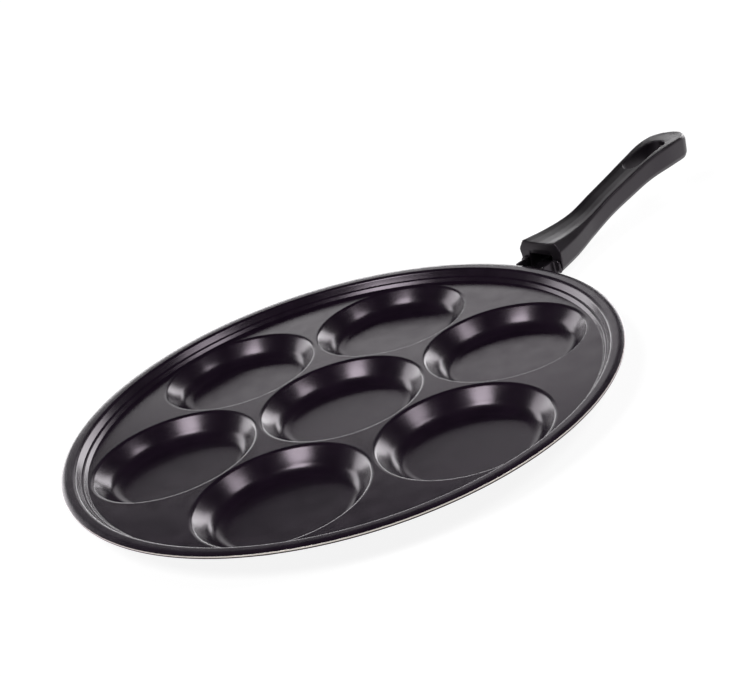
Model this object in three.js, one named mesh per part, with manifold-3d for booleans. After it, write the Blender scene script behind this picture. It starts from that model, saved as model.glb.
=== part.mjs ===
// Multi-hole pancake pan: one pressed sheet-steel body with a flat deck, seven shallow wells and a
// folded rim, and a moulded handle that a long screw pulls onto a welded steel bracket.
// Lengths are in millimetres and +Z is up. The origin is the centre of the underside of the
// middle well, where the pan stands, and the handle runs along +X.
import * as THREE from 'three';
import { mergeVertices } from 'three/addons/utils/BufferGeometryUtils.js';
import Module from 'manifold-3d';

const wasm = await Module();
wasm.setup();

// Pan body
const sheet = 1;
const wellDepth = 9.6;
const wellRadius = 41;
const wellLand = 0.44;
const wellLipRadius = 2;
const wellWallDegrees = 43;
const wellFloorFillet = 14;
const wellToStep = 2.26;
const stepHeight = 2;
const stepDegrees = 45;
const stepFillet = 6;
const stepBend = 1.2;
const ledgeWidth = 1.6;
const ledgeBend = 0.6;
const rimWallRun = 1.5;
const rimInnerBend = 1.2;
const rimHeight = 5.6;
const flangeWidth = 6.2;
const rimBend = 1.5;
const rimDrop = 2.5;
const wellsAround = 6;
const firstWellDegrees = 30;

// Bracket
const bracketSheet = 1.5;
const channelHalfWidth = 10;
const channelHeight = 6.8;
const underRimHeight = 4.8;
const wallStartInset = 8.5;
const wallRun = 4;
const underRimOutset = 1;
const wallRise = 2.5;
const weldTabInset = 35;
const weldTabNose = 8;
const weldTabNoseHalfWidth = 8;
const weldTabHalfWidth = 15;
const weldTabStraight = 13;
const shoulderHalfWidth = 13.4;
const tongueHalfWidth = 7.3;
const noseHalfWidth = 5.8;
const nosePlay = 3;
const roofClearance = 1;

// Handle
const mouthGap = 12.5;
const handleLength = 126.5;
const mouthHalfWidth = 14.6;
const mouthHeight = 17;
const mouthTopAboveDeck = 13.6;
const handleRise = 12.8;
const topDish = 0.8;
const gripHalfWidth = 8.3;
const endHalfWidth = 11;
const mouthChamferInset = 3.4;
const mouthChamferDrop = 5;
const gripChamferInset = 0.6;
const gripChamferDrop = 1.2;
const gripHeight = 12.8;
const endHeight = 13.8;
const edgeRound = 2;
const endRound = 10.8;
const endRoundDegrees = 80;
const endDrop = 2.4;
const socketHalfWidth = 7.7;
const socketEndHalfWidth = 6.2;
const socketDepth = 21;
const socketRoof = 5.3;
const barInset = 1;
const barThickness = 1.8;
const barDrop = 2.3;
const slotFromEnd = 15;
const slotLength = 32;
const slotWidth = 12;

// Screw, washer and nut
const screwRadius = 2;
const screwHeadRadius = 3.5;
const screwHeadHeight = 2.4;
const screwSlotWidth = 0.9;
const screwSlotDepth = 1.1;
const screwTip = 1.4;
const screwInset = 4.6;
const screwEndAboveDeck = 4;
const screwSeatAboveDeck = 15.9;
const washerRadius = 3.9;
const washerThickness = 0.8;
const nutSide = 7;
const nutThickness = 2.4;
const boreClearance = 0.3;
const seatGap = 0.3;
const overrun = 4;

// Facets round a full turn, and steps along each curve
const rimSides = 84;
const wellSides = 32;
const smallSides = 16;
const lipSteps = 2;
const filletSteps = 3;
const bendSteps = 2;
const handleStations = 26;
const tipStations = 7;

const wellPitchRadius = 2 * wellRadius + wellLand;
const stepRadius = wellPitchRadius + wellRadius + wellToStep;
const ledgeEnd = stepRadius + ledgeWidth;
const flangeInner = ledgeEnd + rimWallRun;
const panRadius = flangeInner + flangeWidth;
const deckTop = wellDepth + sheet;
const deckUnder = deckTop - sheet;
const handleStart = panRadius + mouthGap;
const slotStart = handleLength - slotFromEnd - slotLength;
const socketRoofHeight = deckTop + mouthTopAboveDeck - socketRoof;

// Solids

function closedSolid(geometry) {
  const bare = geometry.index ? geometry.toNonIndexed() : geometry.clone();
  bare.deleteAttribute('normal');
  bare.deleteAttribute('uv');
  const merged = mergeVertices(bare);
  const corners = merged.index.array;
  const triangles = [];
  for (let i = 0; i < corners.length; i += 3) {
    const [a, b, c] = [corners[i], corners[i + 1], corners[i + 2]];
    if (a !== b && b !== c && c !== a) {
      triangles.push(a, b, c);
    }
  }
  const mesh = new wasm.Mesh({
    numProp: 3,
    vertProperties: new Float32Array(merged.attributes.position.array),
    triVerts: new Uint32Array(triangles),
  });
  return new wasm.Manifold(mesh);
}

function meshOf(solid, name, material) {
  const { vertProperties, triVerts } = solid.getMesh();
  const geometry = new THREE.BufferGeometry();
  geometry.setAttribute('position', new THREE.BufferAttribute(new Float32Array(vertProperties), 3));
  geometry.setIndex(new THREE.BufferAttribute(new Uint32Array(triVerts), 1));
  geometry.computeVertexNormals();
  const mesh = new THREE.Mesh(geometry, material);
  mesh.name = name;
  return mesh;
}

// A revolved solid about +Z. The profile runs from the bottom to the top as [radius, height].
function revolved(profile, sides, x = 0, y = 0) {
  const points = profile.map(([radius, height]) => new THREE.Vector2(radius, height));
  const geometry = new THREE.LatheGeometry(points, sides);
  geometry.rotateX(Math.PI / 2);
  geometry.translate(x, y, 0);
  return closedSolid(geometry);
}

// Points of an arc from one angle to another, both ends included, with angles in degrees.
function arc(centreX, centreY, radius, fromDegrees, toDegrees, steps) {
  const points = [];
  for (let i = 0; i <= steps; i++) {
    const angle = THREE.MathUtils.degToRad(fromDegrees + (toDegrees - fromDegrees) * i / steps);
    points.push([centreX + radius * Math.cos(angle), centreY + radius * Math.sin(angle)]);
  }
  return points;
}

// A solid through a row of sections, each the same number of points in order round its edge.
function lofted(sections) {
  const around = sections[0].length;
  const positions = [];
  const push = (...points) => points.forEach((point) => positions.push(point.x, point.y, point.z));
  for (let i = 0; i + 1 < sections.length; i++) {
    for (let j = 0; j < around; j++) {
      const k = (j + 1) % around;
      push(sections[i][j], sections[i + 1][j], sections[i + 1][k]);
      push(sections[i][j], sections[i + 1][k], sections[i][k]);
    }
  }
  const centre = (section) => section
    .reduce((sum, point) => sum.add(point), new THREE.Vector3())
    .divideScalar(around);
  const first = sections[0];
  const last = sections[sections.length - 1];
  const firstCentre = centre(first);
  const lastCentre = centre(last);
  for (let j = 0; j < around; j++) {
    const k = (j + 1) % around;
    push(firstCentre, first[j], first[k]);
    push(lastCentre, last[k], last[j]);
  }
  const geometry = new THREE.BufferGeometry();
  geometry.setAttribute('position', new THREE.Float32BufferAttribute(positions, 3));
  return closedSolid(geometry);
}

// A plate: an outline in plan, as [x, y], between two heights.
function plate(outline, bottom, top) {
  const shape = new THREE.Shape(outline.map(([x, y]) => new THREE.Vector2(x, y)));
  const geometry = new THREE.ExtrudeGeometry(shape, { depth: top - bottom, bevelEnabled: false });
  geometry.translate(0, 0, bottom);
  return closedSolid(geometry);
}

// An upright plate: an outline in side view, as [x, z], between two places across the pan.
function uprightPlate(outline, from, to) {
  const shape = new THREE.Shape(outline.map(([x, z]) => new THREE.Vector2(x, z)));
  const geometry = new THREE.ExtrudeGeometry(shape, { depth: to - from, bevelEnabled: false });
  geometry.rotateX(Math.PI / 2);
  geometry.translate(0, to, 0);
  return closedSolid(geometry);
}

function box(lowX, highX, lowY, highY, lowZ, highZ) {
  return plate([[lowX, lowY], [highX, lowY], [highX, highY], [lowX, highY]], lowZ, highZ);
}

// Materials

const nonStick = new THREE.MeshStandardMaterial({ color: 0x2b272c, roughness: 0.32, metalness: 0.2 });
const blackSteel = new THREE.MeshStandardMaterial({ color: 0x3a373b, roughness: 0.45, metalness: 0.5 });
const phenolic = new THREE.MeshStandardMaterial({ color: 0x262326, roughness: 0.4, metalness: 0 });
const zincSteel = new THREE.MeshStandardMaterial({ color: 0xb4b6b8, roughness: 0.35, metalness: 0.9 });

// Pan body: the outer form of the pressing, less the space over the deck and the seven wells

const wallAngle = THREE.MathUtils.degToRad(wellWallDegrees);
const lipEndRadius = wellRadius - wellLipRadius * Math.sin(wallAngle);
const lipDrop = wellLipRadius * (1 - Math.cos(wallAngle));
const filletRise = wellFloorFillet * (1 - Math.cos(wallAngle));
const wallDrop = wellDepth - lipDrop - filletRise;
const filletStartRadius = lipEndRadius - wallDrop / Math.tan(wallAngle);
const floorRadius = filletStartRadius - wellFloorFillet * Math.sin(wallAngle);

const wellPlaces = [[0, 0]];
for (let i = 0; i < wellsAround; i++) {
  const angle = THREE.MathUtils.degToRad(firstWellDegrees + 360 * i / wellsAround);
  wellPlaces.push([wellPitchRadius * Math.cos(angle), wellPitchRadius * Math.sin(angle)]);
}

// The inside of a well: floor, wide fillet, sloping wall and rounded lip, open at the top.
function wellSpace([x, y]) {
  const profile = [
    [0, sheet],
    ...arc(floorRadius, sheet + wellFloorFillet, wellFloorFillet, -90, wellWallDegrees - 90, filletSteps),
    ...arc(wellRadius, deckTop - wellLipRadius, wellLipRadius, 90 + wellWallDegrees, 90, lipSteps),
    [wellRadius, deckTop + rimHeight + overrun],
    [0, deckTop + rimHeight + overrun],
  ];
  return revolved(profile, wellSides, x, y);
}

// The outside of a well, a sheet's thickness beyond the inside, down to where the pan stands.
function wellShell([x, y]) {
  const outerFillet = wellFloorFillet + sheet;
  const wallStartRadius = filletStartRadius + sheet * Math.sin(wallAngle);
  const wallStartHeight = sheet + filletRise - sheet * Math.cos(wallAngle);
  const shellTop = deckTop - sheet / 4;
  const profile = [
    [0, 0],
    ...arc(floorRadius, outerFillet, outerFillet, -90, wellWallDegrees - 90, filletSteps),
    [wallStartRadius + (shellTop - wallStartHeight) / Math.tan(wallAngle), shellTop],
    [0, shellTop],
  ];
  return revolved(profile, wellSides, x, y);
}

// The rim in section, as the corners of the sheet's upper face with the radius of each bend: the
// step's foot, its top edge, the ledge's end, the top of the rim wall, the outer bend and the skirt.
const stepRun = stepHeight / Math.tan(THREE.MathUtils.degToRad(stepDegrees));
const rimTop = deckTop + rimHeight;
const rimCorners = [
  [0, deckTop, 0, 0],
  [stepRadius - stepRun, deckTop, stepFillet, filletSteps],
  [stepRadius, deckTop + stepHeight, stepBend, bendSteps],
  [ledgeEnd, deckTop + stepHeight, ledgeBend, 1],
  [flangeInner, rimTop, rimInnerBend, bendSteps],
  [panRadius, rimTop, rimBend, bendSteps],
  [panRadius, rimTop - rimDrop, 0, 0],
];

// Both faces of a bent sheet, an even thickness apart, from the corners of its upper face.
function bentSheet(corners, thickness) {
  const upper = [];
  const under = [];
  const points = corners.map(([radius, height]) => new THREE.Vector2(radius, height));
  const normalOf = (from, to) => new THREE.Vector2(from.y - to.y, to.x - from.x).normalize();
  const addPoint = (point, normal) => {
    upper.push(point.toArray());
    under.push(point.clone().addScaledVector(normal, -thickness).toArray());
  };
  addPoint(points[0], normalOf(points[0], points[1]));
  for (let i = 1; i + 1 < points.length; i++) {
    const [, , bend, steps] = corners[i];
    const before = normalOf(points[i - 1], points[i]);
    const after = normalOf(points[i], points[i + 1]);
    const turn = Math.asin(before.cross(after));
    const side = Math.sign(turn);
    const bisector = before.clone().add(after).normalize();
    const centre = points[i].clone().addScaledVector(bisector, side * bend / Math.cos(turn / 2));
    for (let k = 0; k <= steps; k++) {
      const normal = before.clone().rotateAround(new THREE.Vector2(), turn * k / steps);
      addPoint(centre.clone().addScaledVector(normal, -side * bend), normal);
    }
  }
  const [beforeLast, last] = points.slice(-2);
  addPoint(last, normalOf(beforeLast, last));
  return { upper, under };
}

const rimFaces = bentSheet(rimCorners, sheet);
const panProfile = [...rimFaces.under, ...rimFaces.upper.slice().reverse()];

let panSolid = revolved(panProfile, rimSides);
for (const place of wellPlaces) {
  panSolid = panSolid.add(wellShell(place));
}
for (const place of wellPlaces) {
  panSolid = panSolid.subtract(wellSpace(place));
}

// Handle bracket: one folded steel pressing, its flat end spot-welded under the deck

const bracketTop = deckUnder;
const bracketUnder = bracketTop - bracketSheet;
const mouthFace = handleStart - seatGap;
const shoulderStart = mouthFace - bracketSheet;
const wallStart = panRadius - wallStartInset;
const underRimEnd = panRadius + underRimOutset;
const weldTabStart = panRadius - weldTabInset;
const tabWide = weldTabStart + weldTabNose;
const tabStraightEnd = tabWide + weldTabStraight;

// The screw's axis, from the hole in the bracket's nose, just short of the socket's end, up to
// its seat near the hanging slot.
const seatX = handleStart + slotStart - screwInset;
const screwSeat = new THREE.Vector3(seatX, 0, deckTop + screwSeatAboveDeck);
const noseHole = new THREE.Vector3(handleStart + socketDepth - nosePlay, 0, deckTop + screwEndAboveDeck);
const screwAxis = new THREE.Vector3().subVectors(screwSeat, noseHole).normalize();
const screwTurn = new THREE.Quaternion().setFromUnitVectors(new THREE.Vector3(0, 0, 1), screwAxis);
const screwSlope = screwAxis.z / screwAxis.x;

// A round solid along the screw's axis, from its profile as [radius, distance from the seat].
function alongScrew(profile, sides) {
  const points = profile.map(([radius, height]) => new THREE.Vector2(radius, height));
  const geometry = new THREE.LatheGeometry(points, sides);
  geometry.rotateX(Math.PI / 2);
  geometry.applyQuaternion(screwTurn);
  geometry.translate(screwSeat.x, screwSeat.y, screwSeat.z);
  return closedSolid(geometry);
}

function rod(radius, from, to, sides) {
  return alongScrew([[0, from], [radius, from], [radius, to], [0, to]], sides);
}

// A block square to the screw's axis, between two distances from the seat.
function blockAlongScrew(halfAcross, halfHigh, from, to) {
  const geometry = new THREE.BoxGeometry(2 * halfHigh, 2 * halfAcross, to - from);
  geometry.translate(0, 0, (from + to) / 2);
  geometry.applyQuaternion(screwTurn);
  geometry.translate(screwSeat.x, screwSeat.y, screwSeat.z);
  return closedSolid(geometry);
}

const noseDistance = screwSeat.distanceTo(noseHole);
const nutFront = -(noseDistance + bracketSheet + seatGap);
const nutBack = nutFront - nutThickness;
const threadEnd = nutBack - screwTip;
const boreRadius = screwRadius + boreClearance;

// The nose is folded up square to the screw, so its foot lies further out than its top.
const noseTop = socketRoofHeight - roofClearance;
const noseLine = (z) => noseHole.x - (z - noseHole.z) * screwSlope;
const noseThickness = bracketSheet / screwAxis.x;
const noseOutline = [
  [noseLine(bracketUnder) - noseThickness, bracketUnder],
  [noseLine(bracketUnder), bracketUnder],
  [noseLine(noseTop), noseTop],
  [noseLine(noseTop) - noseThickness, noseTop],
];

const floorOutline = [
  [weldTabStart, -weldTabNoseHalfWidth],
  [tabWide, -weldTabHalfWidth],
  [tabStraightEnd, -weldTabHalfWidth],
  [underRimEnd, -channelHalfWidth],
  [mouthFace, -channelHalfWidth],
  [mouthFace, -tongueHalfWidth],
  [noseLine(bracketTop) - noseThickness / 2, -noseHalfWidth],
];
const floorMirror = floorOutline.map(([x, y]) => [x, -y]).reverse();

const channelWall = [
  [wallStart, bracketUnder],
  [mouthFace, bracketUnder],
  [mouthFace, bracketUnder + channelHeight],
  [underRimEnd + wallRise, bracketUnder + channelHeight],
  [underRimEnd, bracketUnder + underRimHeight],
  [wallStart + wallRun, bracketUnder + underRimHeight],
  [wallStart, bracketTop],
];

let bracketSolid = plate([...floorOutline, ...floorMirror], bracketUnder, bracketTop);
for (const side of [-1, 1]) {
  const outer = side * channelHalfWidth;
  const inner = side * (channelHalfWidth - bracketSheet);
  const ear = side * shoulderHalfWidth;
  const [low, high] = [Math.min(outer, inner), Math.max(outer, inner)];
  bracketSolid = bracketSolid.add(uprightPlate(channelWall, low, high));
  bracketSolid = bracketSolid.add(box(
    shoulderStart, mouthFace,
    Math.min(inner, ear), Math.max(inner, ear),
    bracketUnder, bracketUnder + channelHeight,
  ));
}
bracketSolid = bracketSolid
  .add(uprightPlate(noseOutline, -noseHalfWidth, noseHalfWidth))
  .subtract(rod(boreRadius, threadEnd, -noseDistance + overrun, smallSides));

// Handle: a hollow-ended phenolic moulding. The tables run along the handle as [share of its
// length, share of the whole change], read from the photograph's outline of the handle.

const riseShares = [
  [0, 0], [0.14, -0.06], [0.28, 0.02], [0.42, 0.33], [0.56, 0.605], [0.7, 0.865], [0.84, 1.02], [1, 1],
];
const gripShares = [[0, 0], [0.14, 0.46], [0.28, 0.91], [0.42, 1], [0.56, 1], [1, 1]];
const endShares = [[0, 0], [0.28, 0], [0.42, 0], [0.56, 0.15], [0.7, 0.48], [0.84, 1.17], [1, 1]];

// The section's dished top and its rounded lower edge.
const dishMiddleShare = 0.55;
const dishDepthShare = 0.7;
const lowerEdgeShares = [[0.3, 1.6], [1, 0.4], [2, 0]];

// Smooth reading of a table of [place, value] pairs.
function reading(table, place) {
  const last = table.length - 1;
  let i = 0;
  while (i < last - 1 && place > table[i + 1][0]) {
    i++;
  }
  const slope = (j) => {
    const before = table[Math.max(j - 1, 0)];
    const after = table[Math.min(j + 1, last)];
    return (after[1] - before[1]) / (after[0] - before[0]);
  };
  const [startPlace, startValue] = table[i];
  const [endPlace, endValue] = table[i + 1];
  const span = endPlace - startPlace;
  const t = (place - startPlace) / span;
  const rise = endValue - startValue;
  const bend = slope(i) * span * t * (1 - t) ** 2 - slope(i + 1) * span * t ** 2 * (1 - t);
  return startValue + rise * t * t * (3 - 2 * t) + bend;
}

// One section: a dished top, a chamfer that dies out behind the mouth, and rounded lower edges.
// The tip closes in a half round, so its sections narrow by the cosine of an angle round it.
function handleSection(x, tipAngle) {
  const place = (x - handleStart) / handleLength;
  const planShare = Math.cos(tipAngle);
  const grip = reading(gripShares, place);
  const end = reading(endShares, place);
  const mix = (mouthValue, gripValue, endValue) => (
    mouthValue + (gripValue - mouthValue) * grip + (endValue - gripValue) * end
  );
  const half = mix(mouthHalfWidth, gripHalfWidth, endHalfWidth);
  const inset = mix(mouthChamferInset, gripChamferInset, gripChamferInset);
  const drop = mix(mouthChamferDrop, gripChamferDrop, gripChamferDrop);
  const topDrop = endDrop * (1 - planShare ** 2);
  const bottomRise = edgeRound * (1 - planShare);
  const rise = handleRise * reading(riseShares, place);
  const height = mix(mouthHeight, gripHeight, endHeight);
  const fullTop = deckTop + mouthTopAboveDeck + rise;
  const top = fullTop - topDrop;
  const bottom = fullTop - height + bottomRise;
  const ridge = half - inset;
  const side = [
    [0, top - topDish],
    [ridge * dishMiddleShare, top - topDish * dishDepthShare],
    [ridge, top],
    [half, top - drop],
    ...lowerEdgeShares.map(([inwards, up]) => [half - edgeRound * inwards, bottom + edgeRound * up]),
    [0, bottom],
  ];
  const left = side.map(([y, z]) => new THREE.Vector3(x, y * planShare, z));
  const right = side.slice(1, -1).reverse().map(([y, z]) => new THREE.Vector3(x, -y * planShare, z));
  return [...left, ...right];
}

const sections = [];
const tipStart = handleStart + handleLength - endRound;
for (let i = 0; i <= handleStations; i++) {
  sections.push(handleSection(handleStart + (tipStart - handleStart) * i / handleStations, 0));
}
const tipTurn = THREE.MathUtils.degToRad(endRoundDegrees);
for (let i = 1; i <= tipStations; i++) {
  const angle = tipTurn * i / tipStations;
  sections.push(handleSection(tipStart + endRound * Math.sin(angle) / Math.sin(tipTurn), angle));
}

// The socket, open at the front and underneath, takes the bracket's tongue and narrows inwards.
const socketBottom = bracketUnder - overrun;
function socketSection(x, half) {
  return [[half, socketRoofHeight], [half, socketBottom], [-half, socketBottom], [-half, socketRoofHeight]]
    .map(([y, z]) => new THREE.Vector3(x, y, z));
}
const taper = (socketHalfWidth - socketEndHalfWidth) / socketDepth;
const socket = lofted([
  socketSection(handleStart - overrun, socketHalfWidth + taper * overrun),
  socketSection(handleStart + socketDepth, socketEndHalfWidth),
]);

// A cross bar hangs from the socket's roof just inside the mouth.
const barStart = handleStart + barInset;
const crossBar = box(
  barStart, barStart + barThickness,
  -mouthHalfWidth, mouthHalfWidth,
  socketRoofHeight - barDrop, socketRoofHeight + overrun,
);

// The hanging slot, a long hole with round ends straight through the handle's end.
const slotRadius = slotWidth / 2;
const slotNear = handleStart + slotStart + slotRadius;
const slotFar = handleStart + slotStart + slotLength - slotRadius;
const slotOutline = [
  ...arc(slotFar, 0, slotRadius, -90, 90, smallSides / 2),
  ...arc(slotNear, 0, slotRadius, 90, 270, smallSides / 2),
];
const handleTop = deckTop + mouthTopAboveDeck + handleRise;
const hangingSlot = plate(slotOutline, deckTop, handleTop + overrun);

// The screw's way in: a wide counterbore from the slot down to the washer, then a plain bore.
const seatBoreRadius = washerRadius + boreClearance;
const counterbore = rod(seatBoreRadius, 0, screwInset + slotRadius, smallSides);
const bore = rod(boreRadius, -noseDistance, overrun, smallSides);

const handleSolid = lofted(sections)
  .subtract(socket.subtract(crossBar))
  .subtract(hangingSlot)
  .subtract(counterbore)
  .subtract(bore);

// Screw, washer and nut, all on the screw's axis

const washerUnder = seatGap;
const washerTop = washerUnder + washerThickness;
const headUnder = washerTop + seatGap;
const headTop = headUnder + screwHeadHeight;

const washerSolid = rod(washerRadius, washerUnder, washerTop, smallSides)
  .subtract(rod(boreRadius, washerUnder - overrun, washerTop + overrun, smallSides));

// The head's crown, as [share of its radius, share of its height].
const crownShares = [[1, 0], [1, 0.5], [0.8, 0.83], [0.4, 1], [0, 1]];
const screwProfile = [
  [0, threadEnd],
  [screwRadius / 2, threadEnd],
  [screwRadius, threadEnd + screwRadius / 2],
  [screwRadius, headUnder],
  ...crownShares.map(([across, up]) => [screwHeadRadius * across, headUnder + screwHeadHeight * up]),
];

const driverSlot = blockAlongScrew(
  screwHeadRadius + overrun, screwSlotWidth / 2, headTop - screwSlotDepth, headTop + overrun,
);
const screwSolid = alongScrew(screwProfile, smallSides).subtract(driverSlot);

const nutSolid = blockAlongScrew(nutSide / 2, nutSide / 2, nutBack, nutFront)
  .subtract(rod(boreRadius, nutBack - overrun, nutFront + overrun, smallSides));

const pancakePan = new THREE.Group();
pancakePan.add(meshOf(panSolid, 'pan_body', nonStick));
pancakePan.add(meshOf(bracketSolid, 'handle_bracket', blackSteel));
pancakePan.add(meshOf(handleSolid, 'handle_grip', phenolic));
pancakePan.add(meshOf(screwSolid, 'handle_screw', zincSteel));
pancakePan.add(meshOf(washerSolid, 'screw_washer', zincSteel));
pancakePan.add(meshOf(nutSolid, 'bracket_nut', zincSteel));

export default pancakePan;
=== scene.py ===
# A multi-hole pancake pan: one pressed sheet-steel body with seven shallow wells, and a moulded
# handle that a long screw pulls onto a bracket welded under the rim. The sections follow the order
# of assembly. Sizes are in millimetres unless a name says otherwise, and +X runs along the handle.
import math

import bmesh
import bpy
import numpy as np
from mathutils import Matrix, Vector
from mathutils.geometry import delaunay_2d_cdt


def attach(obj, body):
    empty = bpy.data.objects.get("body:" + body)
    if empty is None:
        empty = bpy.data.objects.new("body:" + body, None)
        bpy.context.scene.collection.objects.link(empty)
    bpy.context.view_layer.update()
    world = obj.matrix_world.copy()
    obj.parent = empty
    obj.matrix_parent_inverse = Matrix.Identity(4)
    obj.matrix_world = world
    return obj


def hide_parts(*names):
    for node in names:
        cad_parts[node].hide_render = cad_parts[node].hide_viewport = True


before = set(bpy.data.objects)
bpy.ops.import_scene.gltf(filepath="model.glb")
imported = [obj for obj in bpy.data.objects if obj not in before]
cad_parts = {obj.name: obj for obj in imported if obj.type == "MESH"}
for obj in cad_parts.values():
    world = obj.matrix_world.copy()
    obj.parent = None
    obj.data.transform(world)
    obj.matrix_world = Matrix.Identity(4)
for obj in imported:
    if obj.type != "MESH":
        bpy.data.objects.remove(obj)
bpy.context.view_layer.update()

# Pan body. One disc of 1 mm steel sheet with a black non-stick coating, pressed in one stroke into
# a flat deck, seven round wells, a stepped wall and a flange, and trimmed to its edge.

MM = 0.001
sheet = 1.0
well_depth = 9.6
well_radius = 41.0
well_pitch_radius = 82.44
well_count = 6
first_well_degrees = 30.0
well_lip_bend = 2.8
deck_top = well_depth + sheet
step_radius = 125.6
step_height = 2.0
step_slope = 55.0
step_foot_bend = 0.3
step_top_bend = 1.2
ledge_end = 126.6
ledge_bend = 0.3
flange_inner = 128.6
flange_bend = 2.4
crown_radius = 132.8
crown_bend = 12.0
rim_height = 5.6
pan_radius = 135.0
rim_drop = 0.4
flange_dip = 0.12
join_radius = 123.9
join_play = 0.05
bare_width = 0.32
bare_top = 15.86
bare_top_fade = 0.06
bare_foot = 15.2
bare_rise = (-0.05, 0.2)
ragged_height = 0.16
well_join = 41.1
doubles_within = 0.002


def bent_line(corners):
    """Points and left-hand normals along a line of straight runs with an arc at each corner.

    A corner is (x, y, radius, steps), and the two ends have no radius."""
    places = [np.array(corner[:2], float) for corner in corners]
    points, normals = [], []

    def left_normal(start, end):
        along = (end - start) / np.linalg.norm(end - start)
        return np.array([-along[1], along[0]])

    for i, place in enumerate(places):
        if i in (0, len(places) - 1):
            first = min(i, len(places) - 2)
            points.append(place)
            normals.append(left_normal(places[first], places[first + 1]))
            continue
        before = left_normal(places[i - 1], place)
        after = left_normal(place, places[i + 1])
        turn = math.asin(before[0] * after[1] - before[1] * after[0])
        side = math.copysign(1, turn)
        bend, steps = corners[i][2:]
        middle = (before + after) / np.linalg.norm(before + after)
        centre = place + middle * side * bend / math.cos(turn / 2)
        for k in range(steps + 1):
            angle = turn * k / steps
            cos, sin = math.cos(angle), math.sin(angle)
            normal = np.array([
                before[0] * cos - before[1] * sin, before[0] * sin + before[1] * cos,
            ])
            points.append(centre - side * bend * normal)
            normals.append(normal)
    return np.array(points), np.array(normals)


def turned(profile, sides):
    """Points of a profile of (radius, height) turned about +Z, row by row."""
    angles = np.arange(sides) * math.tau / sides
    return np.array([
        (radius * math.cos(a), radius * math.sin(a), height)
        for radius, height in profile for a in angles
    ])


def band(rows, columns, first=0):
    """Faces between rows of points that close on themselves."""
    return [
        (first + i * columns + j, first + i * columns + (j + 1) % columns,
         first + (i + 1) * columns + (j + 1) % columns, first + (i + 1) * columns + j)
        for i in range(rows - 1) for j in range(columns)
    ]


def new_piece(name, points, faces):
    """A smooth mesh object at the origin, from points in millimetres. Doubles are merged."""
    mesh = bpy.data.meshes.new(name)
    mesh.from_pydata((np.asarray(points, float) * MM).tolist(), [], faces)
    piece = bpy.data.objects.new(name, mesh)
    bpy.context.scene.collection.objects.link(piece)
    merge(piece)
    return piece


def merge(piece, outwards=True):
    """Merges doubles, turns the faces outwards and shades them smooth."""
    work = bmesh.new()
    work.from_mesh(piece.data)
    bmesh.ops.remove_doubles(work, verts=work.verts, dist=doubles_within * MM)
    if outwards:
        bmesh.ops.recalc_face_normals(work, faces=work.faces)
    for face in work.faces:
        face.smooth = True
    work.to_mesh(piece.data)
    work.free()


def linear(hex_colour):
    """A linear colour from an sRGB hex value."""
    shares = [int(hex_colour[i:i + 2], 16) / 255 for i in (1, 3, 5)]
    return [c / 12.92 if c <= 0.04045 else ((c + 0.055) / 1.055) ** 2.4 for c in shares] + [1.0]


def add(tree, kind, inputs=None, **settings):
    """Adds a node with its settings, and values or links for its sockets."""
    node = tree.nodes.new(kind)
    for name, value in settings.items():
        setattr(node, name, value)
    for socket, value in (inputs or {}).items():
        if isinstance(value, bpy.types.NodeSocket):
            tree.links.new(value, node.inputs[socket])
        else:
            node.inputs[socket].default_value = value
    return node


def noise(tree, coords, grain_size, detail):
    """A noise texture whose grain is about so many millimetres across."""
    return add(tree, "ShaderNodeTexNoise", {
        "Vector": coords, "Scale": 1 / (grain_size * MM), "Detail": detail,
    })


def two_tones(tree, value, low, dark, high, light):
    """A colour that goes from dark to light as a value goes from low to high."""
    ramp = add(tree, "ShaderNodeValToRGB", {"Fac": value})
    for stop, place, colour in zip(ramp.color_ramp.elements, (low, high), (dark, light)):
        stop.position = place
        stop.color = linear(colour)
    return ramp.outputs["Color"]


def new_material(name):
    """A material with an empty tree, its output and its shader."""
    material = bpy.data.materials.new(name)
    material.use_nodes = True
    tree = material.node_tree
    tree.nodes.clear()
    shader = add(tree, "ShaderNodeBsdfPrincipled")
    add(tree, "ShaderNodeOutputMaterial", {"Surface": shader.outputs["BSDF"]})
    return material, tree, shader


def coating(name, dark, light, roughness_range, peel_height):
    """A sprayed and baked black coating: soft mottling 9 mm across, a fine speckle, and the slight
    orange peel of a sprayed film."""
    material, tree, shader = new_material(name)
    coords = add(tree, "ShaderNodeTexCoord").outputs["Object"]
    mottle = noise(tree, coords, 9, 3.0)
    speckle = noise(tree, coords, 0.5, 1.0)
    spread = add(tree, "ShaderNodeMix", {
        "Factor": 0.4, "A": mottle.outputs["Fac"], "B": speckle.outputs["Fac"],
    }, data_type="FLOAT")
    colour = two_tones(tree, spread.outputs["Result"], 0.35, dark, 0.65, light)
    gloss = add(tree, "ShaderNodeMapRange", {
        "Value": mottle.outputs["Fac"], "From Min": 0.3, "From Max": 0.7,
        "To Min": roughness_range[0], "To Max": roughness_range[1],
    })
    peel = noise(tree, coords, 1.1, 2.0)
    bump = add(tree, "ShaderNodeBump", {
        "Height": peel.outputs["Fac"], "Strength": 1.0, "Distance": peel_height * MM,
    })
    tree.links.new(colour, shader.inputs["Base Color"])
    tree.links.new(gloss.outputs["Result"], shader.inputs["Roughness"])
    tree.links.new(bump.outputs["Normal"], shader.inputs["Normal"])
    shader.inputs["IOR"].default_value = 1.5
    shader.inputs["Specular Tint"].default_value = (1.0, 0.87, 1.0, 1.0)
    return material


# A fluoropolymer film gives near-black with a violet cast, and clear but soft-edged reflections.
nonstick_coating = coating("nonstick_coating", "#180f1b", "#1f1422", (0.2, 0.25), 0.006)

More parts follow.
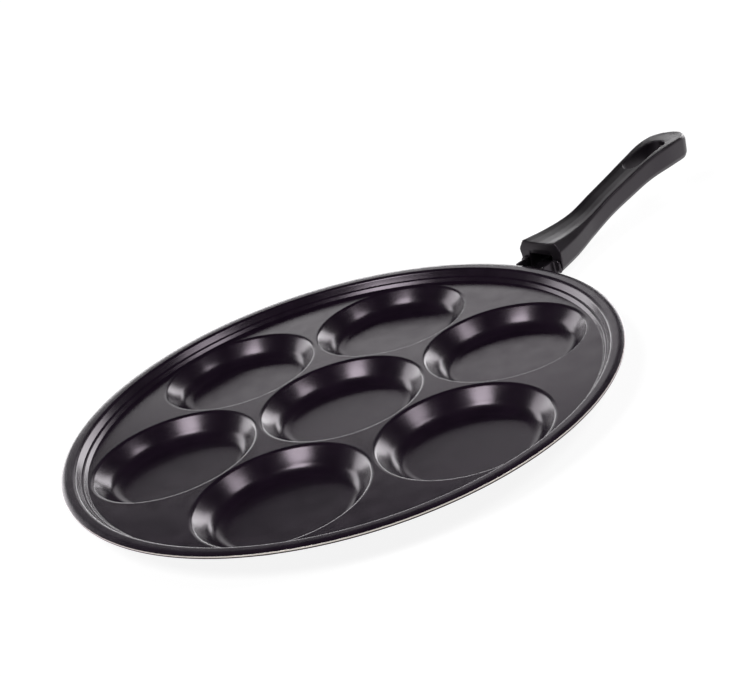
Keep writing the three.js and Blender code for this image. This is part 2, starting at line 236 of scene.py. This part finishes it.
# The sheet is coated before it is stamped, so its cut edge shows a thin, bright and uneven line of
# bare steel, darker at the lower corner.
tree = nonstick_coating.node_tree
shader = next(node for node in tree.nodes if node.type == "BSDF_PRINCIPLED")
coords = add(tree, "ShaderNodeTexCoord").outputs["Object"]
place = add(tree, "ShaderNodeSeparateXYZ", {"Vector": coords})
level = add(tree, "ShaderNodeVectorMath", {0: coords, 1: (1.0, 1.0, 0.0)}, operation="MULTIPLY")
reach = add(tree, "ShaderNodeVectorMath", {0: level.outputs["Vector"]}, operation="LENGTH")
nibble = noise(tree, coords, 2.5, 4.0)
ragged = add(tree, "ShaderNodeMath", {
    0: nibble.outputs["Fac"], 1: ragged_height * MM, 2: place.outputs["Z"],
}, operation="MULTIPLY_ADD")
low = add(tree, "ShaderNodeMapRange", {
    "Value": ragged.outputs[0], "To Min": 1.0, "To Max": 0.0,
    "From Min": bare_top * MM, "From Max": (bare_top + bare_top_fade) * MM,
})
far_out = add(tree, "ShaderNodeMath", {
    0: reach.outputs["Value"], 1: (pan_radius - bare_width) * MM,
}, operation="GREATER_THAN")
bare = add(tree, "ShaderNodeMath", {
    0: low.outputs["Result"], 1: far_out.outputs[0],
}, operation="MULTIPLY")
bright = add(tree, "ShaderNodeMapRange", {
    "Value": ragged.outputs[0],
    "From Min": (bare_foot + bare_rise[0]) * MM, "From Max": (bare_foot + bare_rise[1]) * MM,
})
steel = two_tones(tree, bright.outputs["Result"], 0.0, "#2a221e", 1.0, "#d2ccc5")
for name, metal in (("Base Color", steel), ("Roughness", 0.38)):
    kind, first, second, result = ("RGBA", 6, 7, 2) if name == "Base Color" else ("FLOAT", 2, 3, 0)
    mixed = add(tree, "ShaderNodeMix", {
        0: bare.outputs[0], first: shader.inputs[name].links[0].from_socket, second: metal,
    }, data_type=kind)
    tree.links.new(mixed.outputs[result], shader.inputs[name])
tree.links.new(bare.outputs[0], shader.inputs["Metallic"])

# The rim: a step up from the deck, a narrow ledge, the rim wall, and a flange that leads in over a
# wide bend and falls a little towards its cut edge, where the trimming left a small burr.
step_foot = step_radius - step_height / math.tan(math.radians(step_slope))
rim_top = deck_top + rim_height
rim_points, rim_normals = bent_line([
    (0, deck_top, 0, 0),
    (step_foot, deck_top, step_foot_bend, 6),
    (step_radius, deck_top + step_height, step_top_bend, 14),
    (ledge_end, deck_top + step_height, ledge_bend, 6),
    (flange_inner, rim_top - flange_dip, flange_bend, 16),
    (crown_radius, rim_top, crown_bend, 8),
    (pan_radius, rim_top - rim_drop, 0, 0),
])
outer_rim = [p for p in rim_points if p[0] > join_radius + join_play]
inner_rim = [p - n * sheet for p, n in zip(rim_points, rim_normals)]
inner_rim = [p for p in inner_rim if p[0] > join_radius + join_play]
along = (outer_rim[-1] - outer_rim[-2]) / np.linalg.norm(outer_rim[-1] - outer_rim[-2])
across = inner_rim[-1] - outer_rim[-1]

# The cut edge from its upper corner to the burr: shares of the sheet's thickness, and how far back
# from the edge each point lies.
trimmed = (
    (0, 0.12), (0.05, 0.03), (0.12, 0), (0.7, 0), (1.22, 0), (1.3, 0.03), (1.33, 0.12), (1, 0.5),
)
cut_edge = [outer_rim[-1] + across * share - along * back for share, back in trimmed]
rim_profile = [
    (join_radius, deck_top), *outer_rim[:-1], *cut_edge, *inner_rim[:-1][::-1],
    (join_radius, deck_top - sheet),
]
rim_sides = 360
pan_points = list(turned(rim_profile, rim_sides))
pan_faces = band(len(rim_profile), rim_sides)

# The deck between the wells and the rim, as a flat face with seven round holes, on both sides.
well_sides = 120
well_places = [(0.0, 0.0)] + [
    (well_pitch_radius * math.cos(a), well_pitch_radius * math.sin(a))
    for a in math.radians(first_well_degrees) + np.arange(well_count) * math.tau / well_count
]


def ring(x, y, radius, sides):
    """Points round a circle."""
    angles = np.arange(sides) * math.tau / sides
    return [(x + radius * math.cos(a), y + radius * math.sin(a)) for a in angles]


def pierced_face(outline, holes):
    """Points and triangles of a flat face: a round or convex outline, less round holes."""
    points, edges = [], []
    for loop in [outline] + [ring(*hole) for hole in holes]:
        first = len(points)
        points += loop
        edges += [(first + i, first + (i + 1) % len(loop)) for i in range(len(loop))]
    made = delaunay_2d_cdt([Vector(p) for p in points], edges, [], 0, 1e-6)
    flat = np.array([tuple(p) for p in made[0]])
    triangles = []
    for corners in made[2]:
        x, y = flat[list(corners)].mean(axis=0)
        if all(
            math.hypot(x - hole_x, y - hole_y) > radius * math.cos(math.pi / sides)
            for hole_x, hole_y, radius, sides in holes
        ):
            triangles.append(tuple(corners))
    return flat, triangles


flat, triangles = pierced_face(
    ring(0, 0, join_radius, rim_sides), [(x, y, well_join, well_sides) for x, y in well_places])
for height in (deck_top, deck_top - sheet):
    first = len(pan_points)
    pan_points += [(x, y, height) for x, y in flat]
    for corners in triangles:
        shifted = tuple(first + c for c in corners)
        pan_faces.append(shifted if height == deck_top else shifted[::-1])
pan_body = new_piece("pan_body_pressing", pan_points, pan_faces)

# One well: flat floor, fillet, sloping wall and rounded lip, with both faces of the sheet. The
# wall bulges a little, as stretched sheet does, so it is steeper low down than near the lip.
upper_slope = math.radians(48)
lower_slope = math.radians(51)
floor_fillet = 9.0
bulge_bend = 48.0
lip_corner = well_radius - well_lip_bend * math.tan(upper_slope / 2)
bulge_height = sheet + well_depth * 0.5
bulge_radius = lip_corner - (deck_top - bulge_height) / math.tan(upper_slope)
foot_radius = bulge_radius - (bulge_height - sheet) / math.tan(lower_slope)
well_points, well_normals = bent_line([
    (0, sheet, 0, 0),
    (foot_radius, sheet, floor_fillet, 16),
    (bulge_radius, bulge_height, bulge_bend, 8),
    (lip_corner, deck_top, well_lip_bend, 8),
    (well_join, deck_top, 0, 0),
])
well_under = well_points - well_normals * sheet
points, faces = [], []
for profile in (well_points, well_under):
    first = len(points)
    points += list(turned(profile, well_sides))
    turned_faces = band(len(profile), well_sides, first)
    faces += turned_faces if profile is well_points else [face[::-1] for face in turned_faces]
well = new_piece("well_pressing", points, faces)


def socket_named(group, name, kind, default=None):
    """Adds an input to a node group and gives back its identifier."""
    socket = group.interface.new_socket(name, in_out="INPUT", socket_type=kind)
    if default is not None:
        socket.default_value = default
    return socket.identifier


# The wells stand on a ring and in its middle: points on a circle, one in the centre, and the well
# set on each of them.
wells_group = bpy.data.node_groups.new("wells_on_a_ring", "GeometryNodeTree")
socket_named(wells_group, "Body", "NodeSocketGeometry")
well_input = socket_named(wells_group, "Well", "NodeSocketObject")
count_input = socket_named(wells_group, "Wells around", "NodeSocketInt", well_count)
pitch_input = socket_named(
    wells_group, "Pitch radius", "NodeSocketFloat", well_pitch_radius * MM)
turn_input = socket_named(
    wells_group, "First well", "NodeSocketFloat", math.radians(first_well_degrees))
finish_input = socket_named(wells_group, "Finish", "NodeSocketMaterial")
wells_group.interface.new_socket("Body", in_out="OUTPUT", socket_type="NodeSocketGeometry")
given = add(wells_group, "NodeGroupInput").outputs
circle = add(wells_group, "GeometryNodeMeshCircle", {
    "Vertices": given["Wells around"], "Radius": given["Pitch radius"],
})
turn = add(wells_group, "ShaderNodeCombineXYZ", {"Z": given["First well"]})
placed = add(wells_group, "GeometryNodeTransform", {
    "Geometry": circle.outputs["Mesh"], "Rotation": turn.outputs["Vector"],
})
centre = add(wells_group, "GeometryNodeMeshLine", {"Count": 1})
places = add(wells_group, "GeometryNodeJoinGeometry")
wells_group.links.new(placed.outputs["Geometry"], places.inputs["Geometry"])
wells_group.links.new(centre.outputs["Mesh"], places.inputs["Geometry"])
shape = add(wells_group, "GeometryNodeObjectInfo", {"Object": given["Well"]})
set_wells = add(wells_group, "GeometryNodeInstanceOnPoints", {
    "Points": places.outputs["Geometry"], "Instance": shape.outputs["Geometry"],
})
whole = add(wells_group, "GeometryNodeJoinGeometry")
wells_group.links.new(given["Body"], whole.inputs["Geometry"])
wells_group.links.new(set_wells.outputs["Instances"], whole.inputs["Geometry"])
solid = add(wells_group, "GeometryNodeRealizeInstances", {"Geometry": whole.outputs["Geometry"]})
coated = add(wells_group, "GeometryNodeSetMaterial", {
    "Geometry": solid.outputs["Geometry"], "Material": given["Finish"],
})
add(wells_group, "NodeGroupOutput", {"Body": coated.outputs["Geometry"]})


def settle(piece):
    """Leaves the result of a piece's modifiers as its plain mesh."""
    bpy.context.view_layer.update()
    evaluated = piece.evaluated_get(bpy.context.evaluated_depsgraph_get())
    plain = bpy.data.meshes.new_from_object(evaluated)
    piece.modifiers.clear()
    piece.data = plain


set_on_ring = pan_body.modifiers.new(wells_group.name, "NODES")
set_on_ring.node_group = wells_group
for identifier, value in (
    (well_input, well), (count_input, well_count), (pitch_input, well_pitch_radius * MM),
    (turn_input, math.radians(first_well_degrees)), (finish_input, nonstick_coating),
):
    set_on_ring[identifier] = value
settle(pan_body)
bpy.data.objects.remove(well)
merge(pan_body)
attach(pan_body, "root")
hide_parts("pan_body")

# Handle bracket. A 1.5 mm steel pressing, spot-welded under the deck and painted black: a channel
# that passes under the rim, two ears that stop the handle's mouth, and a tongue with a folded nose.


def remeshed_copy(name, source, voxel, rounds):
    """A copy of a closed mesh with its edges rounded, as a press or a mould leaves them."""
    piece = source.copy()
    piece.data = source.data.copy()
    piece.name = name
    for key in list(piece.keys()):
        del piece[key]
    piece.parent = None
    bpy.context.scene.collection.objects.link(piece)
    merge(piece, outwards=False)
    fine = piece.modifiers.new("Fine", "REMESH")
    fine.mode = "VOXEL"
    fine.voxel_size = voxel * MM
    fine.use_smooth_shade = True
    smooth = piece.modifiers.new("Round", "SMOOTH")
    smooth.factor = 0.5
    smooth.iterations = rounds
    settle(piece)
    return piece


def finished_in(piece, material):
    """Gives a piece its only material."""
    piece.data.materials.clear()
    piece.data.materials.append(material)


# Baked black paint on steel: a little rougher and greyer than the pan's own coating.
painted_steel = coating("painted_black_steel", "#191619", "#211d22", (0.24, 0.32), 0.008)
bracket = remeshed_copy("bracket_pressing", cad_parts["handle_bracket"], 0.3, 4)

# Four spot welds leave shallow round dimples in the tab's underside.
weld_places = [(106, 0), (114, -8), (114, 8), (121, 0)]
weld_radius = 3.0
weld_depth = 0.25
tab_under = 8.1
co = np.empty(len(bracket.data.vertices) * 3)
bracket.data.vertices.foreach_get("co", co)
co = co.reshape(-1, 3) / MM
for x, y in weld_places:
    away = np.hypot(co[:, 0] - x, co[:, 1] - y) / weld_radius
    dent = weld_depth * np.clip(1 - away ** 2, 0, 1) ** 2
    co[:, 2] += np.where(co[:, 2] < tab_under + sheet / 2, dent, 0)

# The ears' outer top corners are round: the square at each corner is drawn in to a quarter disc.
ear_round = 2.0
ear_half = 13.4
ear_top = 14.9
u = (np.abs(co[:, 1]) - (ear_half - ear_round)) / ear_round
v = (co[:, 2] - (ear_top - ear_round)) / ear_round
corner = (u > 0) & (v > 0)
pull = np.where(corner, np.maximum(u, v) / np.maximum(np.hypot(u, v), 0.001), 1)
rounded_y = np.sign(co[:, 1]) * (ear_half - ear_round + u * pull * ear_round)
rounded_z = ear_top - ear_round + v * pull * ear_round
co[:, 1] = np.where(corner, rounded_y, co[:, 1])
co[:, 2] = np.where(corner, rounded_z, co[:, 2])
bracket.data.vertices.foreach_set("co", (co * MM).ravel())
finished_in(bracket, painted_steel)
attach(bracket, "root")
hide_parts("handle_bracket")

# Nut. A square M4 nut of zinc-plated steel, pressed from strip and then plated. It sits behind the
# bracket's nose, and the screw draws it up against it.

# Plated steel gives a pale, slightly cloudy grey metal.
zinc_plating, tree, shader = new_material("zinc_plating")
coords = add(tree, "ShaderNodeTexCoord").outputs["Object"]
cloud = noise(tree, coords, 1.2, 4.0)
colour = two_tones(tree, cloud.outputs["Fac"], 0.3, "#a3a59f", 0.7, "#c3c6c8")
wear = add(tree, "ShaderNodeMapRange", {
    "Value": cloud.outputs["Fac"], "To Min": 0.28, "To Max": 0.42,
})
grain = noise(tree, coords, 0.2, 1.0)
bump = add(tree, "ShaderNodeBump", {"Height": grain.outputs["Fac"], "Distance": 0.004 * MM})
tree.links.new(colour, shader.inputs["Base Color"])
tree.links.new(wear.outputs["Result"], shader.inputs["Roughness"])
tree.links.new(bump.outputs["Normal"], shader.inputs["Normal"])
shader.inputs["Metallic"].default_value = 1.0

# The screw's axis, from the hole in the nose to its seat at the hanging slot.
nose_hole = np.array([165.5, 0, 14.6])
screw_seat = np.array([222.4, 0, 26.5])
nose_distance = np.linalg.norm(screw_seat - nose_hole)
axis = (screw_seat - nose_hole) / nose_distance
screw_turn = Vector((0, 0, 1)).rotation_difference(Vector(axis)).to_matrix()
thread_radius = 2.0
bore_radius = 2.3
nut_side = 7.0
nut_thickness = 2.4
nut_edge = 0.3
bracket_sheet = 1.5
seat_gap = 0.3
nut_front = -(nose_distance + bracket_sheet + seat_gap)


def on_axis(points):
    """Puts points, with their heights measured from the screw's seat, onto the screw's axis."""
    return np.asarray(points, float) @ np.array(screw_turn).T + screw_seat


def pierced_plate(name, outline, hole, low, high, edge):
    """A plate along the screw's axis with a round hole, and its edges eased."""
    flat, triangles = pierced_face(outline, [hole])
    count = len(flat)
    points = [(x, y, z) for z in (low, high) for x, y in flat]
    faces = [t[::-1] for t in triangles]
    faces += [tuple(count + c for c in t) for t in triangles]
    first = 0
    for loop in (len(outline), hole[3]):
        faces += [
            (first + i, first + (i + 1) % loop, count + first + (i + 1) % loop, count + first + i)
            for i in range(loop)
        ]
        first += loop
    piece = new_piece(name, on_axis(points), faces)
    eased = piece.modifiers.new("Eased", "BEVEL")
    eased.width = edge * MM
    eased.segments = 2
    eased.limit_method = "ANGLE"
    eased.angle_limit = math.radians(50)
    settle(piece)
    return piece


half = nut_side / 2
nut = pierced_plate(
    "bracket_nut_square", [(-half, -half), (half, -half), (half, half), (-half, half)],
    (0, 0, bore_radius, 32), nut_front - nut_thickness, nut_front, nut_edge)
finished_in(nut, zinc_plating)
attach(nut, "root")
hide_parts("bracket_nut")

# Handle. One hollow-ended moulding of black phenolic resin, satin from its polished steel mould.
# Its top is dished between two soft ridges, and a long hanging slot goes straight through its end.

handle_start = 147.5
handle_length = 126.5
mouth_top = deck_top + 13.6
handle_rise = 12.8
top_dish = 0.8
edge_round = 2.0
end_round = 10.8
end_drop = 0.4
end_chamfer = 1.8
mouth_sizes = (14.6, 17.0, 3.4, 5.0)
grip_sizes = (8.3, 12.8, 0.6, 1.2)
end_sizes = (11.0, 13.8, 0.6, 1.2)

# Shares read along the handle: of its rise, of the way from mouth to grip, and from grip to end.
# Each row of sizes above gives its half width, its height, and its chamfer's inset and drop.
rise_shares = [
    (0, 0), (0.14, -0.06), (0.28, 0.02), (0.42, 0.33), (0.56, 0.605), (0.7, 0.865), (0.84, 1.02),
    (1, 1),
]
grip_shares = [(0, 0), (0.14, 0.46), (0.28, 0.91), (0.42, 1), (0.56, 1), (1, 1)]
end_shares = [(0, 0), (0.28, 0), (0.42, 0), (0.56, 0.15), (0.7, 0.48), (0.84, 1.17), (1, 1)]


def reading(table, place):
    """A smooth reading of a table of (place, value) pairs."""
    last = len(table) - 1
    i = max(k for k in range(last) if k == 0 or place > table[k][0])

    def slope(j):
        before, after = table[max(j - 1, 0)], table[min(j + 1, last)]
        return (after[1] - before[1]) / (after[0] - before[0])

    span = table[i + 1][0] - table[i][0]
    t = (place - table[i][0]) / span
    rise = table[i + 1][1] - table[i][1]
    bend = slope(i) * span * t * (1 - t) ** 2 - slope(i + 1) * span * t ** 2 * (1 - t)
    return table[i][1] + rise * t * t * (3 - 2 * t) + bend


def handle_section(x, tip_angle):
    """The handle's outline at a place along it, with every corner rounded. Round the tip the
    outline narrows with the angle, so that the tip is a half round in plan, and its edge grows."""
    place = (x - handle_start) / handle_length
    width, turn = math.cos(tip_angle), math.sin(tip_angle)
    dish = top_dish * width
    grip, end = reading(grip_shares, place), reading(end_shares, place)
    half, height, inset, drop = (
        mouth + (middle - mouth) * grip + (last - middle) * end
        for mouth, middle, last in zip(mouth_sizes, grip_sizes, end_sizes)
    )
    full_top = mouth_top + handle_rise * reading(rise_shares, place)
    top = full_top - end_drop * turn ** 2
    bottom = full_top - height + edge_round * (1 - width)
    ridge = half - inset - end_chamfer * turn
    side = [
        (0, top - dish, 0, 0),
        (ridge * 0.55, top - dish * 0.7, 8.0, 4),
        (ridge, top, 0.9, 6),
        (half, top - drop - end_chamfer * turn, 1.4, 6),
        (half - edge_round * 0.3, bottom + edge_round * 1.6, 1.2, 4),
        (half - edge_round, bottom + edge_round * 0.4, 1.0, 4),
        (half - edge_round * 2, bottom, 1.0, 4),
        (0, bottom, 0, 0),
    ]
    points, _ = bent_line(side)
    right = [(x, -y * width, z) for y, z in points]
    left = [(x, y * width, z) for y, z in points[1:-1]][::-1]
    return right + left


tip_start = handle_start + handle_length - end_round
rows = [handle_section(x, 0) for x in np.linspace(handle_start, tip_start, 130)]
rows += [
    handle_section(tip_start + end_round * math.sin(angle), angle)
    for angle in np.radians(np.linspace(2, 88, 40))
]
around = len(rows[0])
points = [p for row in rows for p in row]
faces = band(len(rows), around)
for i, row in ((0, rows[0]), (len(rows) - 1, rows[-1])):
    points.append(np.mean(row, axis=0))
    faces += [
        (len(points) - 1, i * around + j, i * around + (j + 1) % around) for j in range(around)
    ]
handle_blank = new_piece("handle_blank", points, faces)


def cut(blank, cutters):
    """Takes closed cutters out of a blank and deletes them."""
    for cutter in cutters:
        away = blank.modifiers.new("Cut", "BOOLEAN")
        away.object = cutter
        away.operation = "DIFFERENCE"
        away.solver = "EXACT"
    settle(blank)
    for cutter in cutters:
        bpy.data.objects.remove(cutter)


def block(name, rows):
    """A closed solid through rows of points."""
    across = len(rows[0])
    faces = band(len(rows), across)
    last = (len(rows) - 1) * across
    faces += [tuple(range(across))[::-1], tuple(range(last, last + across))]
    return new_piece(name, [p for row in rows for p in row], faces)


# The socket takes the bracket's tongue. It is open at the front and underneath, and a cross bar
# hangs from its roof just inside the mouth.
socket_depth = 21
socket_wide = 7.7
socket_narrow = 6.2
socket_roof = mouth_top - 5.3
bar_under = socket_roof - 2.3
socket_rows = []
for along, roof in (
    (-4, socket_roof), (0.25, socket_roof), (0.35, bar_under), (2.25, bar_under),
    (2.35, socket_roof), (socket_depth, socket_roof),
):
    half = socket_wide - (socket_wide - socket_narrow) * along / socket_depth
    section, _ = bent_line([(0, roof, 0, 0), (half, roof, 0.6, 4), (half, 2.0, 0, 0)])
    x = handle_start + along
    socket_rows.append([(x, y, z) for y, z in section] + [(x, -y, z) for y, z in section[1:]][::-1])
socket = block("socket", socket_rows)

slot_radius = 6.0
slot_middle = 243.0
slot_reach = 10.0
slot_low, slot_high = 5, 60
half_turn = np.linspace(-math.pi / 2, math.pi / 2, 24)
slot_ends = [
    (slot_middle + side * slot_reach + slot_radius * math.cos(a), slot_radius * math.sin(a))
    for side in (1, -1) for a in (side - 1) * math.pi / 2 + half_turn
]
slot = block("slot", [[(x, y, z) for x, y in slot_ends] for z in (slot_low, slot_high)])


def rod(name, radius, low, high):
    """A round rod on the screw's axis, with its ends measured from the screw's seat."""
    return block(name, [on_axis(turned([(radius, z)], 48)) for z in (low, high)])


counterbore_radius = 4.2
counterbore_depth = 4.6
bore_overrun = 4
cut(handle_blank, [
    socket, slot,
    rod("counterbore", counterbore_radius, 0, counterbore_depth + slot_radius),
    rod("bore", bore_radius, -nose_distance, bore_overrun),
])
handle = remeshed_copy("handle_moulding", handle_blank, 0.4, 5)
bpy.data.objects.remove(handle_blank)

# Moulded phenolic gives a deep, faintly violet black with a broad satin sheen, a little mottled by
# its filler.
moulded_phenolic, tree, shader = new_material("moulded_phenolic")
coords = add(tree, "ShaderNodeTexCoord").outputs["Object"]
filler = noise(tree, coords, 0.7, 3.0)
flow = noise(tree, coords, 14, 3.0)
mixed = add(tree, "ShaderNodeMix", {
    "Factor": 0.5, "A": filler.outputs["Fac"], "B": flow.outputs["Fac"],
}, data_type="FLOAT")
colour = two_tones(tree, mixed.outputs["Result"], 0.35, "#131014", 0.65, "#19151a")
sheen = add(tree, "ShaderNodeMapRange", {
    "Value": flow.outputs["Fac"], "From Min": 0.3, "From Max": 0.7, "To Min": 0.33, "To Max": 0.42,
})
bump = add(tree, "ShaderNodeBump", {"Height": filler.outputs["Fac"], "Distance": 0.012 * MM})
tree.links.new(colour, shader.inputs["Base Color"])
tree.links.new(sheen.outputs["Result"], shader.inputs["Roughness"])
tree.links.new(bump.outputs["Normal"], shader.inputs["Normal"])
shader.inputs["IOR"].default_value = 1.5
shader.inputs["Specular Tint"].default_value = (1.0, 0.88, 1.0, 1.0)
finished_in(handle, moulded_phenolic)
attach(handle, "root")
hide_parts("handle_grip")

# Washer. A flat washer stamped from steel and zinc-plated. It lies on the seat at the bottom of the
# counterbore and spreads the load of the screw's head on the moulding.

washer_radius = 3.9
washer_thickness = 0.8
washer_edge = 0.15
washer = pierced_plate(
    "screw_washer_flat", ring(0, 0, washer_radius, 40), (0, 0, bore_radius, 32),
    seat_gap, seat_gap + washer_thickness, washer_edge)
finished_in(washer, zinc_plating)
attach(washer, "root")
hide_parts("screw_washer")

# Screw. A long M4 machine screw of zinc-plated steel, with a rolled thread at its end and a slotted
# head. It goes in from the hanging slot and pulls the handle onto the bracket's ears.

thread_pitch = 0.7
thread_length = 16.0
head_radius = 3.5
head_under = 1.4
head_height = 2.4
thread_depth = 0.4
tip_taper = 0.35
past_nut = 1.4
thread_end = nut_front - nut_thickness - past_nut
around = 36
rows = [[(0, 0, thread_end)] * around]
steps = int(thread_length / thread_pitch * 8)
for i in range(steps + 1):
    height = thread_end + thread_length * i / steps
    ease = min(1, i / 12, (steps - i) / 12)
    row = []
    for a in np.arange(around) * math.tau / around:
        phase = ((height - thread_end) / thread_pitch - a / math.tau) % 1
        groove = thread_depth * ease * (1 - abs(2 * phase - 1))
        radius = thread_radius - groove - tip_taper * max(0, 1 - i / 10)
        row.append((radius * math.cos(a), radius * math.sin(a), height))
    rows.append(row)
head_points, _ = bent_line([
    (thread_radius, head_under - 4, 0, 0),
    (thread_radius, head_under, 0.3, 3),
    (head_radius, head_under, 0.15, 3),
    (head_radius, head_under + head_height, 1.1, 8),
    (0, head_under + head_height, 0, 0),
])
rows += [[tuple(p) for p in turned([place], around)] for place in head_points]
screw = new_piece(
    "handle_screw_threaded", on_axis([p for row in rows for p in row]), band(len(rows), around))
head_top = head_under + head_height
driver_half = 0.45
driver_depth = 1.1
driver_slot = block("driver_slot", [
    on_axis([
        (x, y, z)
        for x, y in ((-driver_half, -5), (driver_half, -5), (driver_half, 5), (-driver_half, 5))
    ])
    for z in (head_top - driver_depth, head_top + 1)
])
cut(screw, [driver_slot])
finished_in(screw, zinc_plating)
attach(screw, "root")
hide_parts("handle_screw")

# Stage. A white sweep of paper: grey for light that bounces off it, white to the eye and in
# reflections, with the pan's shadow kept. Sizes in this section are in metres.

floor_half = 6.0
floor = new_piece("floor_paper", [
    (x * floor_half / MM, y * floor_half / MM, 0) for x, y in ((-1, -1), (1, -1), (1, 1), (-1, 1))
], [(0, 1, 2, 3)])
white_paper, tree, shader = new_material("white_paper")
rays = add(tree, "ShaderNodeLightPath").outputs
direct = add(tree, "ShaderNodeMath", {
    0: rays["Is Camera Ray"], 1: rays["Is Glossy Ray"],
}, operation="MAXIMUM")
seen = add(tree, "ShaderNodeMath", {
    0: direct.outputs[0], 1: rays["Is Transmission Ray"],
}, operation="MAXIMUM")
coords = add(tree, "ShaderNodeTexCoord").outputs["Object"]
away = add(tree, "ShaderNodeVectorMath", {0: coords}, operation="LENGTH")
white = add(tree, "ShaderNodeMapRange", {
    "Value": away.outputs["Value"], "From Min": 0.4, "From Max": 1.2, "To Min": 0.88, "To Max": 1.0,
})
glow = add(tree, "ShaderNodeMath", {
    0: seen.outputs[0], 1: white.outputs["Result"],
}, operation="MULTIPLY")
tree.links.new(glow.outputs[0], shader.inputs["Emission Strength"])
shader.inputs["Emission Color"].default_value = (1, 1, 1, 1)
shader.inputs["Base Color"].default_value = (0.25, 0.25, 0.25, 1)
shader.inputs["Roughness"].default_value = 0.9
shader.inputs["Specular IOR Level"].default_value = 0.0
floor.data.materials.append(white_paper)

# The room round the table: white low down, where the sweep ends, and dark towards the ceiling.
world = bpy.data.worlds.new("studio_room")
bpy.context.scene.world = world
world.use_nodes = True
tree = world.node_tree
tree.nodes.clear()
direction = add(tree, "ShaderNodeTexCoord").outputs["Generated"]
split = add(tree, "ShaderNodeSeparateXYZ", {"Vector": direction})
room = add(tree, "ShaderNodeValToRGB", {"Fac": split.outputs["Z"]})
room.color_ramp.elements[0].position = 0.0
room.color_ramp.elements[0].color = (0.7, 0.7, 0.7, 1)
room.color_ramp.elements[1].position = 1.0
room.color_ramp.elements[1].color = (0.02, 0.02, 0.02, 1)
for place, level in ((0.14, 0.35), (0.3, 0.13), (0.5, 0.05), (0.8, 0.02)):
    stop = room.color_ramp.elements.new(place)
    stop.color = (level, level, level, 1)
seen = add(tree, "ShaderNodeLightPath").outputs["Is Camera Ray"]
sky = add(tree, "ShaderNodeMix", {"Factor": seen}, data_type="RGBA")
tree.links.new(room.outputs["Color"], sky.inputs[6])
sky.inputs[7].default_value = (1, 1, 1, 1)
light = add(tree, "ShaderNodeBackground", {"Color": sky.outputs[2], "Strength": 1.0})
add(tree, "ShaderNodeOutputWorld", {"Surface": light.outputs["Background"]})

# Four softboxes, two high ones at the front and two low ones behind, a wide pale panel that stands
# behind the pan with its top edge falling to the right, and a long low strip under it.
aim = Vector((0.03, 0, 0.01))
for name, azimuth, elevation, distance, width, height, lean, radiance in (
    ("front_left", 190, 52, 1.2, 0.42, 0.35, 0, 13.0),
    ("front_right", 297, 46, 1.2, 0.38, 0.35, 0, 8.5),
    ("rear_left", 97, 13, 1.6, 0.85, 0.7, 0, 4.0),
    ("rear_right", 15, 8.5, 1.6, 0.92, 0.66, 0, 5.8),
    ("back_panel", 57, 19.5, 2.0, 1.25, 0.4, -19, 1.3),
    ("back_strip", 57, 4.5, 1.8, 1.6, 0.18, 0, 4.8),
):
    lamp = bpy.data.lights.new(name, "AREA")
    lamp.shape = "RECTANGLE"
    lamp.size = width
    lamp.size_y = height
    lamp.energy = radiance * math.pi * width * height
    box = bpy.data.objects.new(name, lamp)
    a, e = math.radians(azimuth), math.radians(elevation)
    towards = Vector((math.cos(a) * math.cos(e), math.sin(a) * math.cos(e), math.sin(e)))
    facing = towards.to_track_quat("Z", "Y").to_matrix().to_4x4()
    leant = Matrix.Rotation(math.radians(lean), 4, "Z")
    box.matrix_world = Matrix.Translation(aim + towards * distance) @ facing @ leant
    box.visible_camera = False
    bpy.context.scene.collection.objects.link(box)

# Camera, at the photograph's viewing angle.
lens_camera = bpy.data.cameras.new("camera")
lens_camera.sensor_width = 36.0
lens_camera.lens = 66.825
lens_camera.clip_end = 100.0
camera = bpy.data.objects.new("camera", lens_camera)
camera.location = (-0.33030, -0.49375, 0.28449)
camera.rotation_euler = [math.radians(a) for a in (66.2811, 15.2112, -42.5175)]
bpy.context.scene.collection.objects.link(camera)
bpy.context.scene.camera = camera
bpy.context.scene.view_settings.view_transform = "Standard"
